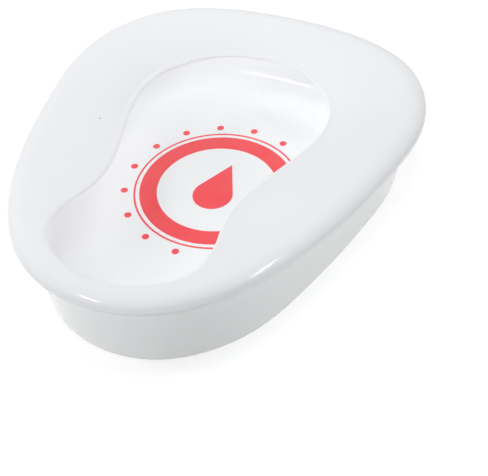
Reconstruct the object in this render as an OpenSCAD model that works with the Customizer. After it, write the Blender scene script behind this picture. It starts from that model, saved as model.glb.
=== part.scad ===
// Adult bedpan: a basin with a printed floor mark, closed by a keyhole seat that is
// snapped over the basin's rolled flange and welded to it.
// Millimetres, +Z up, standing on z = 0. The narrow front end points along -Y, the wide
// rear end along +Y, and X = 0 is the plane of symmetry.

/* [Overall] */
// Length over the rim, front to rear
pan_length = 380; // [350:1:400]
// Width over the rim, at its widest
pan_width = 309; // [290:1:320]
// Height of the rim's crest at the narrow front end
crest_front = 81.5; // [76:0.5:90]
// Height of the rim's crest at the wide rear end
crest_rear = 64.5; // [62:0.5:74]

/* [Seat] */
// Wall of the seat shell
seat_wall = 2.4; // [2:0.1:2.6]
// Outside radius of the rolled rim
roll_r = 6.2; // [6:0.1:7]
// Width of the rim's rounded shoulder, from its outermost line to its crest
roll_w = 13; // [12.5:0.1:13.5]
// How far below the horizontal the rolled rim curls under, in degrees
roll_under = 54; // [36:18:54]
// Drop of the seat from the crest to the opening, at the very front
drop_front = 0; // [0:0.1:2]
// Further drop of the seat over the whole length of the pan
drop_gain = 9.5; // [8:0.1:13]
// Width over which the seat's top curves down into the opening
edge_w = 4.5; // [2:0.5:6]
// Height of the rib that locates the seat on the basin wall
rib_h = 5; // [3:0.5:8]

/* [Basin] */
// Wall of the basin
basin_wall = 2.5; // [2.2:0.1:2.8]
// Thickness of the floor
floor_t = 3; // [2.6:0.1:3.5]
// How far the foot lies inside the rim's outermost line
foot_inset = 21; // [20:0.1:24]
// How much less that is at the two front shoulders
shoulder_out = 3.5; // [0:0.1:4]
// How far the top of the wall lies inside the rim's outermost line
wall_inset = 9.2; // [8.8:0.1:10]
// Height of the sweep that blends the wall into the floor
sweep_h = 30; // [24:1:34]
// Width of that sweep at the rear end, measured from the foot
sweep_rear = 26; // [24:1:30]
// Width of that sweep at the front end, measured from the foot
sweep_front = 50; // [44:1:54]
// Depth of the recess inside the standing ring, under the floor
recess_d = 0.8; // [0.4:0.1:1]

/* [Printed mark] */
// Distance of the mark's centre behind the middle of the pan
mark_y = 16; // [10:1:24]
// Outside radius of the thin outer circle
mark_r = 70; // [60:1:72]
// Thickness of the print
ink_t = 0.2; // [0.1:0.05:0.3]

/* [Hidden] */

// Half cages of the two outlines, front to rear, as control points of cubic B-splines.
// The other half is the mirror image. Both are scaled to pan_length and pan_width.
RIM_CAGE = [
    [0, -192.5], [57.7, -178.3], [106.2, -125.8], [134.8, -52.1], [148, 11],
    [161.2, 91.1], [123.4, 164.5], [57.1, 187.7], [0, 191]
];
OPENING_CAGE = [
    [0, -177.7], [61, -148.2], [61.6, -111], [58.8, -96.4], [48.7, -55.5],
    [77, 18.6], [84.9, 73], [50.6, 119.6], [0, 133]
];
SPAN_STEPS = 5; // sections along each span of the B-splines

FIT_GAP = 0.1; // clearance between the seat and the basin's flange
FLANGE_T = 1.8; // thickness of the basin's rolled flange
FLANGE_FILLET = 1.2; // how far out the flange's underside meets the wall's outer face
RIB_T = 2; // thickness of the seat's locating rib
RIB_S = wall_inset + basin_wall + 2 * FIT_GAP; // where the rib's outer face stands
LAND_S = RIB_S + RIB_T + 0.5; // inner edge of the flat welding land
DISH_POWER = 1.5; // how the seat's drop grows towards the opening and towards the rear
SHOULDER_AT = 0.17; // where the front shoulders are, as a part of the length
SHOULDER_HALF = 0.22; // half the length over which they bulge
CHANNEL_GAP = 1.5; // least width of the channel behind the foot skirt
RING_SCALE = 0.86; // inner outline of the standing ring, as a part of the floor's
RECESS_SCALE = 0.85; // outline of the recess inside it, likewise

WHITE = [0.96, 0.965, 0.97];
RED = [1, 0.36, 0.37];

// ---- outlines ----

// The whole cage from its half, going front, +X side, rear, -X side.
function whole(half) = concat(
    half,
    [for (i = [len(half) - 2 : -1 : 1]) [-half[i].x, half[i].y]]
);

// Point and direction of a uniform cubic B-spline on the span that starts at control k.
function control(cage, k) = cage[(k + len(cage)) % len(cage)];
function spline_point(c, k, t) = (
    pow(1 - t, 3) * control(c, k - 1)
    + (3 * pow(t, 3) - 6 * t * t + 4) * control(c, k)
    + (-3 * pow(t, 3) + 3 * t * t + 3 * t + 1) * control(c, k + 1)
    + pow(t, 3) * control(c, k + 2)
) / 6;
function spline_dir(c, k, t) = unit(
    -pow(1 - t, 2) * control(c, k - 1)
    + (3 * t * t - 4 * t) * control(c, k)
    + (-3 * t * t + 2 * t + 1) * control(c, k + 1)
    + t * t * control(c, k + 2)
);
function unit(v) = v / norm(v);
function left_of(v) = [-v.y, v.x];
function mix(a, b, w) = a * (1 - w) + b * w;

function outline(cage) = [
    for (k = [0 : len(cage) - 1]) for (j = [0 : SPAN_STEPS - 1])
        spline_point(cage, k, j / SPAN_STEPS)
];
function inward(cage) = [
    for (k = [0 : len(cage) - 1]) for (j = [0 : SPAN_STEPS - 1])
        left_of(spline_dir(cage, k, j / SPAN_STEPS))
];

// The rim's cage is scaled so that the outline measures exactly pan_width by pan_length.
drawn = outline(whole(RIM_CAGE));
drawn_x = [for (p = drawn) p.x];
drawn_y = [for (p = drawn) p.y];
fit_x = pan_width / (2 * max(drawn_x));
fit_y = pan_length / (max(drawn_y) - min(drawn_y));
mid_y = (max(drawn_y) + min(drawn_y)) / 2;
rim_cage = [for (c = whole(RIM_CAGE)) [c.x * fit_x, (c.y - mid_y) * fit_y]];
opening_cage = [for (c = whole(OPENING_CAGE)) [c.x * fit_x, (c.y - mid_y) * fit_y]];

rim = outline(rim_cage);
rim_in = inward(rim_cage);
opening = outline(opening_cage);
opening_in = inward(opening_cage);
SECTIONS = len(rim);

// ---- heights and widths that change along the pan ----

// 0 at the front end, 1 at the rear end
function along(y) = y / pan_length + 0.5;
function crest(i) = mix(crest_front, crest_rear, along(rim[i].y));
function drop(i) = drop_front + drop_gain * pow(max(0, along(opening[i].y)), DISH_POWER);
function shoulder(i) = cos(90 * min(1, abs(along(rim[i].y) - SHOULDER_AT) / SHOULDER_HALF));
function foot_s(i) = foot_inset - shoulder_out * pow(shoulder(i), 2);
function sweep_w(i) = mix(sweep_front, sweep_rear, along(rim[i].y));

// A point of section i: s is measured inward from the rim's outermost line.
function at(i, s, z) = let (p = rim[i] + rim_in[i] * s) [p.x, p.y, z];
// Point of the rolled rim, or of an offset of it where r is under roll_r. a is 90 at the
// crest, 0 at the outermost line and negative under it. It is a circular arc up to the
// outermost line and a quarter ellipse, roll_w wide, from there to the crest.
function half_w(r) = roll_w - roll_r + r;
function rolled(i, r, a) = at(
    i,
    a > 0 ? roll_w - half_w(r) * cos(a) : roll_r - r * cos(a),
    crest(i) - roll_r + r * sin(a)
);
// The angle at which that offset reaches s inward from the outermost line.
function rolled_a(r, s) = acos((roll_w - s) / half_w(r));

// Inset of the basin wall's outer face at height z.
function wall_s(i, z) = mix(foot_s(i), wall_inset, z / (crest(i) - 2 * roll_r));

// ---- skins from sections ----

// Triangles between neighbouring sections, of n points each. A closed profile joins its
// last point to its first.
function skin(n, closed) = [
    for (i = [0 : SECTIONS - 1]) for (j = [0 : n - (closed ? 1 : 2)])
        let (
            a = i * n + j,
            b = i * n + (j + 1) % n,
            c = ((i + 1) % SECTIONS) * n + (j + 1) % n,
            d = ((i + 1) % SECTIONS) * n + j
        )
        each [[a, c, b], [a, d, c]]
];

// A hoop: sections with a closed profile, all the way round.
module hoop(sections) {
    n = len(sections[0]);
    polyhedron([for (s = sections) each s], skin(n, true));
}

// A dish: sections with an open profile, whose first and last points ring two flat caps.
module dish(sections) {
    n = len(sections[0]);
    first_cap = [for (i = [SECTIONS - 1 : -1 : 0]) i * n];
    last_cap = [for (i = [0 : SECTIONS - 1]) i * n + n - 1];
    polyhedron([for (s = sections) each s], concat(skin(n, false), [first_cap, last_cap]));
}

// ---- basin ----

// The sweep from wall to floor is a quarter ellipse. Its upper end runs on from the
// sloping wall, at the angle where the two have the same slope.
function sweep_axis(i) = foot_s(i) + sweep_w(i);
function wall_slope(i) = (foot_s(i) - wall_inset) / (crest(i) - 2 * roll_r);
function sweep_start(i) = let (half_w = sweep_axis(i) - wall_s(i, sweep_h) - basin_wall)
    atan(wall_slope(i) * sweep_h / half_w);
function sweep_half(i) = let (
    a = sweep_start(i),
    z = floor_t + sweep_h * (1 - sin(a))
) (sweep_axis(i) - wall_s(i, z) - basin_wall) / cos(a);
function sweep_top(i, a) = at(
    i, sweep_axis(i) - sweep_half(i) * cos(a), floor_t + sweep_h * (1 - sin(a))
);
function sweep_under(i, a) = at(
    i, sweep_axis(i) - (sweep_half(i) + basin_wall) * cos(a), (floor_t + sweep_h) * (1 - sin(a))
);
// Angle at which the underside of the sweep reaches the channel behind the foot skirt.
function channel_a(i) = acos(
    (sweep_axis(i) - wall_s(i, sweep_h / 2) - basin_wall - CHANNEL_GAP)
    / (sweep_half(i) + basin_wall)
);
// The standing ring's inner edge follows the floor's outline at a smaller scale.
function ring_in(i, scale, z) = let (p = sweep_under(i, 90)) [p.x * scale, p.y * scale, z];

FOOT_R = 1.2; // rounding of the foot skirt's outer edge
SWEEP_STEPS = 7;
UNDER_STEPS = 3;
FLANGE_R = roll_r - seat_wall - FIT_GAP; // outside radius of the rolled flange
FLANGE_IN = FLANGE_R - FLANGE_T; // its inside radius
FLANGE_TIP_A = 15; // where its curl ends
FLANGE_TOP_A = rolled_a(FLANGE_R, wall_inset + basin_wall);
FLANGE_NECK_A = rolled_a(FLANGE_IN, wall_inset - FLANGE_FILLET);
FLANGE_STEPS = 3;

function basin_section(i) = let (
    a0 = sweep_start(i),
    ac = channel_a(i),
    neck_z = crest(i) - roll_r
) concat(
    [for (k = [SWEEP_STEPS : -1 : 0]) sweep_top(i, mix(a0, 90, k / SWEEP_STEPS))],
    [at(i, wall_inset + basin_wall, neck_z)],
    [for (k = [FLANGE_STEPS : -1 : 0])
        rolled(i, FLANGE_R, mix(FLANGE_TIP_A, FLANGE_TOP_A, k / FLANGE_STEPS))],
    [rolled(i, FLANGE_R - FLANGE_T / 2, 0)],
    [for (k = [0 : FLANGE_STEPS])
        rolled(i, FLANGE_IN, mix(FLANGE_TIP_A, FLANGE_NECK_A, k / FLANGE_STEPS))],
    [at(i, wall_inset, neck_z)],
    [at(i, wall_inset, neck_z - roll_r)],
    [at(i, wall_s(i, FOOT_R), FOOT_R), at(i, foot_s(i) + FOOT_R / 2, 0)],
    [at(i, foot_s(i) + basin_wall, 0)],
    [at(i, wall_s(i, sweep_under(i, ac).z) + basin_wall, sweep_under(i, ac).z)],
    [for (k = [0 : UNDER_STEPS]) sweep_under(i, mix(ac, 90, k / UNDER_STEPS))],
    [ring_in(i, RING_SCALE, 0), ring_in(i, RECESS_SCALE, recess_d)]
);

module basin() {
    color(WHITE) dish([for (i = [0 : SECTIONS - 1]) basin_section(i)]);
}

// ---- seat ----

PLATE_STEPS = 4;
EDGE_TOP = 0.65 * seat_wall; // height of the opening's rounding above its innermost line
EDGE_UNDER = seat_wall - EDGE_TOP; // its height and width below that line
EDGE_A = 72; // the rounding is drawn from -EDGE_A to EDGE_A
EDGE_STEPS = 5;
ROLL_STEPS = 8;
INNER_STEPS = 7;
INNER_R = roll_r - seat_wall; // inside radius of the rolled rim
INNER_A = rolled_a(INNER_R, RIB_S); // where its inside meets the rib
ROLL_TIP_A = 12; // how far the tip's rounding reaches past the end of the roll, in degrees

// Point of the seat plate, w is 0 at the welding land and 1 where the edge starts to round.
function plate(i, w, below) = let (
    edge = opening[i] - opening_in[i] * edge_w,
    land = rim[i] + rim_in[i] * LAND_S,
    p = mix(land, edge, w)
) [p.x, p.y, crest(i) - drop(i) * pow(w, DISH_POWER) - below];
// Point of the opening's edge: two quarter ellipses that meet at its innermost line, a = 0.
function edge_round(i, a) = let (
    reach = a < 0 ? EDGE_UNDER : edge_w,
    rise = a < 0 ? EDGE_UNDER : EDGE_TOP,
    p = opening[i] - opening_in[i] * reach * (1 - cos(a))
) [p.x, p.y, crest(i) - drop(i) - EDGE_TOP + rise * sin(a)];

function seat_section(i) = concat(
    [rolled(i, roll_r - seat_wall / 2, -roll_under - ROLL_TIP_A)],
    [for (k = [0 : INNER_STEPS]) rolled(i, INNER_R, mix(-roll_under, INNER_A, k / INNER_STEPS))],
    [for (s = [RIB_S, RIB_S + RIB_T]) at(i, s, crest(i) - seat_wall - rib_h)],
    [for (k = [0 : PLATE_STEPS]) plate(i, k / PLATE_STEPS, seat_wall)],
    [for (k = [0 : EDGE_STEPS]) edge_round(i, mix(-EDGE_A, EDGE_A, k / EDGE_STEPS))],
    [for (k = [PLATE_STEPS : -1 : 0]) plate(i, k / PLATE_STEPS, 0)],
    [for (k = [ROLL_STEPS : -1 : 0]) rolled(i, roll_r, mix(-roll_under, 90, k / ROLL_STEPS))]
);

module seat() {
    color(WHITE) hoop([for (i = [0 : SECTIONS - 1]) seat_section(i)]);
}

// ---- printed mark ----

BAND_OUT = 0.93; // radii of the mark's rings and drop, as parts of mark_r
BAND_IN = 0.72;
LINE_W = 1.6; // width of the thin outer circle
DROP_R = 0.24;
DROP_TIP = 0.56;
DROP_FORWARD = 0.12; // how far the drop's body lies in front of the centre
DOT_R = 3;
DOT_OUT = 8; // distance of the dots' centres from the thin circle
DOTS = 16;

module ring(r_out, r_in) {
    difference() {
        circle(r_out, $fn = 96);
        circle(r_in, $fn = 96);
    }
}

// A water drop: a round body under a straight-sided tip that touches it.
module drop_shape(r, tip) {
    touch_a = asin(r / tip);
    circle(r, $fn = 64);
    polygon([
        [0, tip],
        [-r * cos(touch_a), r * sin(touch_a)],
        [r * cos(touch_a), r * sin(touch_a)]
    ]);
}

module printed_mark() {
    color(RED) translate([0, mark_y, floor_t]) linear_extrude(ink_t) {
        ring(mark_r, mark_r - LINE_W);
        ring(mark_r * BAND_OUT, mark_r * BAND_IN);
        translate([0, -mark_r * DROP_FORWARD]) drop_shape(mark_r * DROP_R, mark_r * DROP_TIP);
        for (k = [0 : DOTS - 1])
            rotate(k * 360 / DOTS) translate([mark_r + DOT_OUT, 0]) circle(DOT_R, $fn = 24);
    }
}

basin();
seat();
printed_mark();
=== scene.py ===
"""The looks of an adult bedpan: a white moulded basin and keyhole seat, with a red printed mark.

Metres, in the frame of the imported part: +Z up, the narrow front end towards -Y, the wide rear
end towards +Y, standing on z = 0.
"""

import math

import bpy
import numpy as np
from mathutils import Matrix, Vector


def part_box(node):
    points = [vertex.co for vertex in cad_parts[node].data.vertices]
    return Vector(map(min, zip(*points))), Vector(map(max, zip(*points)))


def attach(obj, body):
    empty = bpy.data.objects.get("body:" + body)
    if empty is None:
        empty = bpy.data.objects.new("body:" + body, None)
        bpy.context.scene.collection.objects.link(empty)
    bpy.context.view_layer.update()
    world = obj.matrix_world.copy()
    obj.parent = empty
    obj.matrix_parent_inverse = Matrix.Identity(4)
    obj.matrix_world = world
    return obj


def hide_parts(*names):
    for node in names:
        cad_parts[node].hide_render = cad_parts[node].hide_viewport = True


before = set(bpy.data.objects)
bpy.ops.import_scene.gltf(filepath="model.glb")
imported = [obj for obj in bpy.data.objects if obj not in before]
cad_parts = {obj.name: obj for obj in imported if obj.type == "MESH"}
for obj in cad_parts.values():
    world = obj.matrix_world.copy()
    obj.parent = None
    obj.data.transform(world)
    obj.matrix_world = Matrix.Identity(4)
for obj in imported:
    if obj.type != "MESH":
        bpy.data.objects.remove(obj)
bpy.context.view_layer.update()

MM = 0.001

# ---------------------------------------------------------------- dimensions, in millimetres

SEAT_LO, SEAT_HI = (np.array(corner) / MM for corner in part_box("seat"))
PAN_WIDTH = SEAT_HI[0] - SEAT_LO[0]
PAN_LENGTH = SEAT_HI[1] - SEAT_LO[1]
CREST_FRONT = SEAT_HI[2]
CREST_REAR = 64.5

SEAT_WALL = 2.4
ROLL_R = 6.2
ROLL_W = 13.0
ROLL_UNDER = math.radians(54)
DROP_FRONT = 0.0
DROP_GAIN = 9.5
EDGE_W = 4.5
EDGE_TOP = 0.65 * SEAT_WALL
EDGE_UNDER = SEAT_WALL - EDGE_TOP
DISH_POWER = 1.5
RIB_H = 5.0
RIB_T = 2.0
LIP_EASE = 0.35
LIP_EASE_A = 0.14
LIP_TIP_A = 0.2
LAND_MARGIN = 0.5

BASIN_WALL = 2.5
FLOOR_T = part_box("printed_mark")[0].z / MM
FOOT_INSET = 21.0
SHOULDER_OUT = 3.5
SHOULDER_AT = 0.17
SHOULDER_HALF = 0.22
WALL_INSET = 9.2
SWEEP_H = 30.0
SWEEP_REAR = 26.0
SWEEP_FRONT = 50.0
RECESS_D = 0.8
RING_SCALE = 0.86
RING_STEP = 0.01
WALL_ROWS_Z = (40.0, 20.0, 6.0, 2.4)
FOOT_TIP = ((0.1, 1.2), (0.5, 0.45), (1.1, 0.0))
FOOT_EASE = 0.6
FOOT_RISE = 0.5

FIT_GAP = 0.1
FLANGE_T = 1.8
FLANGE_EASE = 0.6
FLANGE_FILLET = 1.2
FLANGE_TIP_A = math.radians(15)
FLANGE_START_A = 0.05
RIB_S = WALL_INSET + BASIN_WALL + 2 * FIT_GAP
LAND_S = RIB_S + RIB_T + LAND_MARGIN
CHANNEL_GAP = 1.5

# Half cages of the two outlines, front to rear: control points of cubic B-splines.
RIM_CAGE = [
    (0, -192.5), (57.7, -178.3), (106.2, -125.8), (134.8, -52.1), (148, 11),
    (161.2, 91.1), (123.4, 164.5), (57.1, 187.7), (0, 191),
]
OPENING_CAGE = [
    (0, -177.7), (61, -148.2), (61.6, -111), (58.8, -96.4), (48.7, -55.5),
    (77, 18.6), (84.9, 73), (50.6, 119.6), (0, 133),
]
SPAN_STEPS = 16
DISC_STEPS = 8

# The gate's stub: place on the seat, radius, and rings from the middle out, each a part of
# the radius and a height above the seat.
GATE_XY = (-89.7, -5.5)
GATE_R = 0.9
GATE_SIDES = 14
GATE_RINGS = ((0.3, 0.09), (0.55, 0.16), (0.8, 0.13), (0.95, 0.05), (1.0, -0.1))

# ---------------------------------------------------------------- outlines


def whole(half):
    """The closed cage from its half: front, +X side, rear, -X side."""
    half = np.array(half, float)
    mirror = half[-2:0:-1] * [-1, 1]
    return np.vstack([half, mirror])


def spline(cage):
    """Points and inward normals of the closed cubic B-spline, SPAN_STEPS to a span."""
    points, normals = [], []
    for k in range(len(cage)):
        c = [cage[(k + n) % len(cage)] for n in (-1, 0, 1, 2)]
        for j in range(SPAN_STEPS):
            t = j / SPAN_STEPS
            w = [(1 - t) ** 3, 3 * t**3 - 6 * t**2 + 4, -3 * t**3 + 3 * t**2 + 3 * t + 1, t**3]
            d = [-((1 - t) ** 2), 3 * t**2 - 4 * t, -3 * t**2 + 2 * t + 1, t**2]
            points.append(sum(a * b for a, b in zip(w, c)) / 6)
            along = sum(a * b for a, b in zip(d, c))
            normals.append(np.array([-along[1], along[0]]) / np.hypot(*along))
    return np.array(points), np.array(normals)


drawn, _ = spline(whole(RIM_CAGE))
fit = np.array([PAN_WIDTH / np.ptp(drawn[:, 0]), PAN_LENGTH / np.ptp(drawn[:, 1])])
middle = np.array([0, (drawn[:, 1].max() + drawn[:, 1].min()) / 2])
rim, rim_in = spline((whole(RIM_CAGE) - middle) * fit)
opening, opening_in = spline((whole(OPENING_CAGE) - middle) * fit)
SECTIONS = len(rim)


def mix(a, b, w):
    """a where w is 0, b where it is 1."""
    return a * (1 - w) + b * w


def along(y):
    """0 at the front end, 1 at the rear end."""
    return y / PAN_LENGTH + 0.5


crest = mix(CREST_FRONT, CREST_REAR, along(rim[:, 1]))
drop = DROP_FRONT + DROP_GAIN * np.maximum(0, along(opening[:, 1])) ** DISH_POWER
shoulder = np.cos(math.pi / 2 * np.minimum(1, abs(along(rim[:, 1]) - SHOULDER_AT) / SHOULDER_HALF))
foot_s = FOOT_INSET - SHOULDER_OUT * shoulder**2
sweep_w = mix(SWEEP_FRONT, SWEEP_REAR, along(rim[:, 1]))

# ---------------------------------------------------------------- points of every section


def stack(xy, z):
    """Points in the plan raised to z."""
    return np.column_stack([xy, np.broadcast_to(z, len(xy))])


def at(s, z):
    """One point per section, s inward from the rim's outermost line, at height z."""
    s = np.broadcast_to(s, SECTIONS)
    return stack(rim + rim_in * s[:, None], z)


def half_w(r):
    """Half width of the roll's inner quarter ellipse, for an offset of radius r."""
    return ROLL_W - ROLL_R + r


def rolled(r, a):
    """On the rolled rim, or an offset of it: a is pi/2 at the crest, 0 at the outermost line."""
    s = ROLL_W - half_w(r) * math.cos(a) if a > 0 else ROLL_R - r * math.cos(a)
    return at(s, crest - ROLL_R + r * math.sin(a))


def rolled_a(r, s):
    """The angle at which that offset reaches s inward from the outermost line."""
    return math.acos((ROLL_W - s) / half_w(r))


def wall_s(z):
    """How far the wall's outer side is in from the outermost line, at height z."""
    return mix(foot_s, WALL_INSET, z / (crest - 2 * ROLL_R))


def arc(a, b, steps):
    """Evenly spaced values from a to b, both included."""
    return [mix(a, b, k / steps) for k in range(steps + 1)]


# ---------------------------------------------------------------- meshes


def mesh_piece(name, verts, faces, material):
    """A smooth object from points in millimetres."""
    mesh = bpy.data.meshes.new(name)
    mesh.from_pydata((np.asarray(verts) * MM).tolist(), [], faces)
    mesh.validate()
    for face in mesh.polygons:
        face.use_smooth = True
    mesh.materials.append(material)
    piece = bpy.data.objects.new(name, mesh)
    bpy.context.scene.collection.objects.link(piece)
    return piece


def quads(n, closed):
    """Faces between neighbouring sections of n points each."""
    faces = []
    for i in range(SECTIONS):
        here, there = i * n, (i + 1) % SECTIONS * n
        for j in range(n if closed else n - 1):
            k = (j + 1) % n
            faces.append((here + k, there + k, there + j, here + j))
    return faces


def loft(name, rows, closed, material):
    """Skins rows of points, each row one point per section, and caps an open profile."""
    n = len(rows)
    verts = np.stack(rows, axis=1).reshape(-1, 3)
    faces = quads(n, closed)
    if not closed:
        faces.append(tuple(i * n for i in range(SECTIONS)))
        faces.append(tuple(i * n + n - 1 for i in reversed(range(SECTIONS))))
    return mesh_piece(name, verts, faces, material)


# ---------------------------------------------------------------- basin

sweep_axis = foot_s + sweep_w
wall_slope = (foot_s - WALL_INSET) / (crest - 2 * ROLL_R)
sweep_start = np.arctan(wall_slope * SWEEP_H / (sweep_axis - wall_s(SWEEP_H) - BASIN_WALL))
start_z = FLOOR_T + SWEEP_H * (1 - np.sin(sweep_start))
sweep_half = (sweep_axis - wall_s(start_z) - BASIN_WALL) / np.cos(sweep_start)
channel_a = np.arccos(
    (sweep_axis - wall_s(SWEEP_H / 2) - BASIN_WALL - CHANNEL_GAP) / (sweep_half + BASIN_WALL)
)


def sweep_top(a):
    """On the sweep's upper side: a is sweep_start at the wall, pi/2 at the floor."""
    return at(sweep_axis - sweep_half * np.cos(a), FLOOR_T + SWEEP_H * (1 - np.sin(a)))


def sweep_under(a):
    """On the sweep's lower side: a is channel_a at the wall, pi/2 at the floor's underside."""
    s = sweep_axis - (sweep_half + BASIN_WALL) * np.cos(a)
    return at(s, (FLOOR_T + SWEEP_H) * (1 - np.sin(a)))


def scaled(row, scale, z):
    """A row shrunk towards the middle of the pan, at height z."""
    return stack(row[:, :2] * scale, z)


def basin_rows():
    """The basin's profile from the middle of the floor, over the flange, to under the floor."""
    neck = crest - ROLL_R
    flange_r = ROLL_R - SEAT_WALL - FIT_GAP
    flange_in = flange_r - FLANGE_T
    top_a = rolled_a(flange_r, WALL_INSET + BASIN_WALL)
    neck_a = rolled_a(flange_in, WALL_INSET - FLANGE_FILLET)
    floor_edge = sweep_top(math.pi / 2)
    rows = [scaled(floor_edge, k / DISC_STEPS, FLOOR_T) for k in range(1, DISC_STEPS)]
    rows += [sweep_top(mix(sweep_start, math.pi / 2, k / 20)) for k in range(20, -1, -1)]
    rows += [at(WALL_INSET + BASIN_WALL, z) for z in (neck, neck + flange_r - FLANGE_EASE)]
    rows += [rolled(flange_r, a) for a in arc(top_a - FLANGE_START_A, FLANGE_TIP_A, 8)]
    rows += [rolled(flange_r - FLANGE_T / 2, 0)]
    rows += [rolled(flange_in, a) for a in arc(FLANGE_TIP_A, neck_a, 5)]
    rows += [at(WALL_INSET, neck)]
    rows += [at(wall_s(z), z) for z in (neck - ROLL_R, *WALL_ROWS_Z)]
    rows += [at(foot_s + s, z) for s, z in FOOT_TIP]
    rows += [at(foot_s + BASIN_WALL - FOOT_EASE, 0.0), at(foot_s + BASIN_WALL, FOOT_RISE)]
    shoulder_z = sweep_under(channel_a)[:, 2]
    rows += [at(wall_s(shoulder_z) + BASIN_WALL, shoulder_z - FOOT_EASE)]
    rows += [sweep_under(mix(channel_a, math.pi / 2, k / 10)) for k in range(11)]
    under = sweep_under(math.pi / 2)
    rows += [scaled(under, RING_SCALE, 0.0), scaled(under, RING_SCALE - RING_STEP, RECESS_D)]
    rows += [
        scaled(under, RING_SCALE * k / DISC_STEPS, RECESS_D) for k in range(DISC_STEPS - 1, 0, -1)
    ]
    return rows


# ---------------------------------------------------------------- seat


def plate(w, below):
    """Row of the seat plate, w is 0 at the welding land and 1 where the edge starts to round."""
    edge = opening - opening_in * EDGE_W
    land = rim + rim_in * LAND_S
    return stack(mix(land, edge, w), crest - drop * w**DISH_POWER - below)


def edge_round(a):
    """The opening's edge: two quarter ellipses that meet at its innermost line, a = 0."""
    reach, rise = (EDGE_UNDER, EDGE_UNDER) if a < 0 else (EDGE_W, EDGE_TOP)
    xy = opening - opening_in * reach * (1 - math.cos(a))
    return stack(xy, crest - drop - EDGE_TOP + rise * math.sin(a))


def seat_rows():
    """The seat's profile, from the tip of the roll, inside it, round the opening and back."""
    inner = ROLL_R - SEAT_WALL
    tip_r = ROLL_R - SEAT_WALL / 2
    tip_a = -ROLL_UNDER - LIP_TIP_A
    ease_a = -ROLL_UNDER - LIP_EASE_A
    rows = [rolled(tip_r, tip_a), rolled(inner + LIP_EASE, ease_a)]
    rows += [rolled(inner, a) for a in arc(-ROLL_UNDER, 0.0, 5)]
    rows += [rolled(inner, a) for a in arc(0.12, rolled_a(inner, RIB_S), 12)]
    rows += [at(s, crest - SEAT_WALL - RIB_H) for s in (RIB_S, RIB_S + RIB_T)]
    rows += [plate(w, SEAT_WALL) for w in arc(0.0, 1.0, 14)]
    rows += [edge_round(a) for a in arc(-1.5, -0.2, 5) + arc(0.0, 1.48, 13)]
    rows += [plate(w, 0.0) for w in arc(1.0, 0.0, 20)]
    rows += [rolled(ROLL_R, a) for a in arc(math.pi / 2, 0.0, 22)]
    rows += [rolled(ROLL_R, a) for a in arc(-0.08, -ROLL_UNDER, 9)]
    rows += [rolled(ROLL_R - LIP_EASE, ease_a)]
    return rows


# ---------------------------------------------------------------- gate


def gate_stub(seat, material):
    """The low cratered stub of a trimmed gate on the seat's left side, a closed mesh."""
    bpy.context.view_layer.update()
    above = Vector((*GATE_XY, CREST_FRONT)) * MM
    _, foot, up, _ = seat.ray_cast(above, Vector((0, 0, -1)))
    side = up.orthogonal().normalized()
    across = up.cross(side)
    n = GATE_SIDES
    turn = [2 * math.pi * k / n for k in range(n)]
    verts = [
        foot / MM + (side * math.cos(a) + across * math.sin(a)) * r * GATE_R + up * h
        for r, h in GATE_RINGS
        for a in turn
    ]
    faces = [tuple(range(n)), tuple(reversed(range(len(verts) - n, len(verts))))]
    for first in range(0, len(verts) - n, n):
        for k in range(n):
            j = (k + 1) % n
            faces.append((first + k, first + n + k, first + n + j, first + j))
    return mesh_piece("gate_vestige", verts, faces, material)


# ---------------------------------------------------------------- materials


def node_tree(name, ior=1.5):
    """A new material, its nodes, its shader and the object's own coordinates in metres."""
    material = bpy.data.materials.new(name)
    material.use_nodes = True
    tree = material.node_tree
    shader = tree.nodes["Principled BSDF"]
    shader.inputs["IOR"].default_value = ior
    return material, tree, shader, tree.nodes.new("ShaderNodeTexCoord").outputs["Object"]


def noise(tree, coords, scale, detail=2.0, roughness=0.5):
    """Fractal noise, scale cycles to the metre."""
    node = tree.nodes.new("ShaderNodeTexNoise")
    node.inputs["Scale"].default_value = scale
    node.inputs["Detail"].default_value = detail
    node.inputs["Roughness"].default_value = roughness
    tree.links.new(coords, node.inputs["Vector"])
    return node


def ramp(tree, value, low, high):
    """A colour ramp between two stops, each (position, colour)."""
    node = tree.nodes.new("ShaderNodeValToRGB")
    for element, (position, colour) in zip(node.color_ramp.elements, (low, high)):
        element.position = position
        element.color = (*colour, 1)
    tree.links.new(value, node.inputs["Fac"])
    return node.outputs["Color"]


def grey(v):
    return (v, v, v)


def tint(tree, shader, variation, dark, light, low, high):
    """Base colour that follows a noise, dark below low and light above high."""
    colour = ramp(tree, variation.outputs["Fac"], (low, dark), (high, light))
    tree.links.new(colour, shader.inputs["Base Color"])


def gloss(tree, shader, variation, smooth, rough, low, high):
    """Roughness that follows a noise."""
    value = ramp(tree, variation.outputs["Fac"], (low, grey(smooth)), (high, grey(rough)))
    tree.links.new(value, shader.inputs["Roughness"])


def relief(tree, shader, height, strength, distance):
    """Bump that follows a noise; the distance is in metres."""
    bump = tree.nodes.new("ShaderNodeBump")
    bump.inputs["Strength"].default_value = strength
    bump.inputs["Distance"].default_value = distance
    tree.links.new(height.outputs["Fac"], bump.inputs["Height"])
    tree.links.new(bump.outputs["Normal"], shader.inputs["Normal"])


def moulded_plastic(name, light, dark):
    """Glossy white moulding: faint flow variation, cloudy smudges, an all but flat orange peel."""
    material, tree, shader, coords = node_tree(name, ior=1.49)
    tint(tree, shader, noise(tree, coords, 9.0, detail=3.0), dark, light, 0.35, 0.65)
    smudge = noise(tree, coords, 22.0, detail=5.0, roughness=0.6)
    gloss(tree, shader, smudge, 0.09, 0.17, 0.35, 0.75)
    relief(tree, shader, noise(tree, coords, 260.0, detail=1.0), 0.08, 0.0004)
    return material


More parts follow.
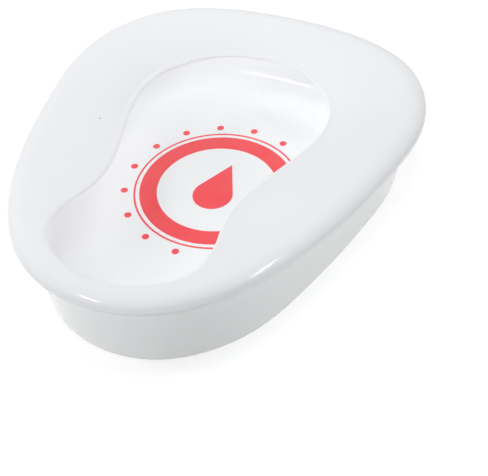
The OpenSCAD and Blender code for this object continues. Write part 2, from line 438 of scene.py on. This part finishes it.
def cut_plastic_painted_shade():
    """The torn, matt plastic that a trimmed injection gate leaves, in a mid grey that is painted
    shade: it makes the small stub show as a dark speck on the white seat.
    """
    material, tree, shader, coords = node_tree("cut_plastic_painted_shade", ior=1.49)
    torn_and_painted_shade = noise(tree, coords, 2500.0, detail=3.0)
    # The grey, far darker than the white seat, is painted shade; the roughness and bump below are
    # the torn surface itself.
    tint(tree, shader, torn_and_painted_shade, grey(0.42), grey(0.6), 0.3, 0.7)
    gloss(tree, shader, torn_and_painted_shade, 0.45, 0.7, 0.3, 0.7)
    relief(tree, shader, torn_and_painted_shade, 0.4, 0.0001)
    return material


def red_print():
    """Pad-printed ink: a thin flat coat with pinholes, a little uneven in strength."""
    material, tree, shader, coords = node_tree("red_print", ior=1.45)
    cover = noise(tree, coords, 35.0, detail=4.0)
    tint(tree, shader, cover, (1.0, 0.095, 0.11), (1.0, 0.125, 0.135), 0.3, 0.7)
    grain = noise(tree, coords, 1400.0)
    gloss(tree, shader, grain, 0.3, 0.45, 0.3, 0.7)
    relief(tree, shader, grain, 0.15, 0.00005)
    return material


def floor_paper():
    """Plain white paper, bright enough to show only a faint shadow."""
    material, tree, shader, coords = node_tree("floor_paper")
    tint(tree, shader, noise(tree, coords, 3.0, detail=3.0), grey(0.96), grey(0.98), 0.3, 0.7)
    shader.inputs["Roughness"].default_value = 0.7
    shader.inputs["Emission Color"].default_value = (1, 1, 1, 1)
    shader.inputs["Emission Strength"].default_value = 0.14
    return material


# ---------------------------------------------------------------- pieces

basin_material = moulded_plastic("basin_plastic", (0.922, 0.938, 0.948), (0.909, 0.925, 0.935))
seat_material = moulded_plastic("seat_plastic", (0.875, 0.885, 0.905), (0.86, 0.87, 0.89))
ink = red_print()

basin = loft("basin_shell", basin_rows(), False, basin_material)
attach(basin, "root")
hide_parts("basin")

seat = loft("seat_shell", seat_rows(), True, seat_material)
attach(seat, "root")
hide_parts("seat")

# The stub's grey material is painted shade, so that it shows as a dark speck.
vestige = gate_stub(seat, cut_plastic_painted_shade())
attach(vestige, "root")

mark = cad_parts["printed_mark"]
mark.data.materials.clear()
mark.data.materials.append(ink)

# ---------------------------------------------------------------- floor, light and camera

FLOOR_HALF = 6.0
LAMP_DISTANCE = 2.2
LAMP_AIM_Z = 0.05
SENSOR_WIDTH = 36.0


def towards(azimuth, elevation):
    """The unit vector from the pan to an azimuth that is 0 at -Y and 90 at +X."""
    a, e = math.radians(azimuth), math.radians(elevation)
    return Vector((math.sin(a) * math.cos(e), -math.cos(a) * math.cos(e), math.sin(e)))


def floor():
    """The studio floor, which throws no light back on the pan."""
    r = FLOOR_HALF
    mesh = bpy.data.meshes.new("studio_floor")
    mesh.from_pydata([(-r, -r, 0), (r, -r, 0), (r, r, 0), (-r, r, 0)], [], [(0, 1, 2, 3)])
    mesh.materials.append(floor_paper())
    piece = bpy.data.objects.new("studio_floor", mesh)
    piece.visible_diffuse = False
    bpy.context.scene.collection.objects.link(piece)
    return piece


def soft_box(
    name, azimuth, elevation, power, size=(0.9, 0.9), shadow=True, glossy=False, only=()
):
    """A rectangular lamp aimed at the pan, mirrored in its gloss only where glossy is set.

    A shadowless lamp stands for the light that comes through the thin white plastic, and one
    for only some pieces evens out the light between them.
    """
    back = towards(azimuth, elevation)
    data = bpy.data.lights.new(name, "AREA")
    data.shape = "RECTANGLE"
    data.size, data.size_y = size
    data.energy = power
    data.use_shadow = shadow
    lamp = bpy.data.objects.new(name, data)
    lamp.visible_glossy = glossy
    lamp.location = back * LAMP_DISTANCE + Vector((0, 0, LAMP_AIM_Z))
    lamp.rotation_euler = (-back).to_track_quat("-Z", "Y").to_euler()
    bpy.context.scene.collection.objects.link(lamp)
    if only:
        receivers = bpy.data.collections.new(name + "_receivers")
        for piece in only:
            receivers.objects.link(piece)
        lamp.light_linking.receiver_collection = receivers


def sky(strength):
    """An even white surrounding."""
    world = bpy.data.worlds.new("studio")
    world.use_nodes = True
    background = world.node_tree.nodes["Background"]
    background.inputs["Color"].default_value = (1.0, 1.0, 1.0, 1)
    background.inputs["Strength"].default_value = strength
    bpy.context.scene.world = world


def camera(azimuth, elevation, roll, distance, lens, shift, target):
    """The camera; the lens is in millimetres and the roll turns it about its own axis."""
    back = towards(azimuth, elevation)
    a = math.radians(azimuth)
    right = Vector((math.cos(a), math.sin(a), 0))
    up = back.cross(right)
    c, s = math.cos(math.radians(roll)), math.sin(math.radians(roll))
    axes = (c * right + s * up, -s * right + c * up, back)
    data = bpy.data.cameras.new("camera")
    data.lens = lens
    data.sensor_width = SENSOR_WIDTH
    data.shift_x, data.shift_y = shift
    obj = bpy.data.objects.new("camera", data)
    matrix = Matrix(axes).transposed().to_4x4()
    matrix.translation = Vector(target) + back * distance
    obj.matrix_world = matrix
    bpy.context.scene.collection.objects.link(obj)
    bpy.context.scene.camera = obj


paper = floor()
sky(0.25)
soft_box("key_front", 45, 15, 10.95)
soft_box("key_left", 238, 42, 6.96)
soft_box("key_right", 135, 15, 6.39)
soft_box("fill_left", 315, 15, 20.13, shadow=False)
soft_box("fill_right", 90, 15, 7.62, shadow=False)
soft_box("fill_rear", 208, 42, 15.93, shadow=False)
soft_box("seat_left", 238, 42, 9.9, shadow=False, only=[seat])
soft_box("floor_light", 0, 89.9, 12.0, only=[paper])
soft_box("streak_left", 312, 60, 3.0, (0.45, 0.1), glossy=True)
soft_box("streak_right", 132, 63.5, 2.5, (0.8, 0.08), glossy=True)
soft_box("streak_rear", 326, 57, 3.8, (0.5, 0.1), shadow=False, glossy=True, only=[basin])
camera(
    azimuth=28.456, elevation=43.037, roll=-5.165, distance=0.96667,
    lens=85.14, shift=(0.0533, -0.0990), target=(0, 0.0178, 0),
)
bpy.context.scene.view_settings.view_transform = "Standard"
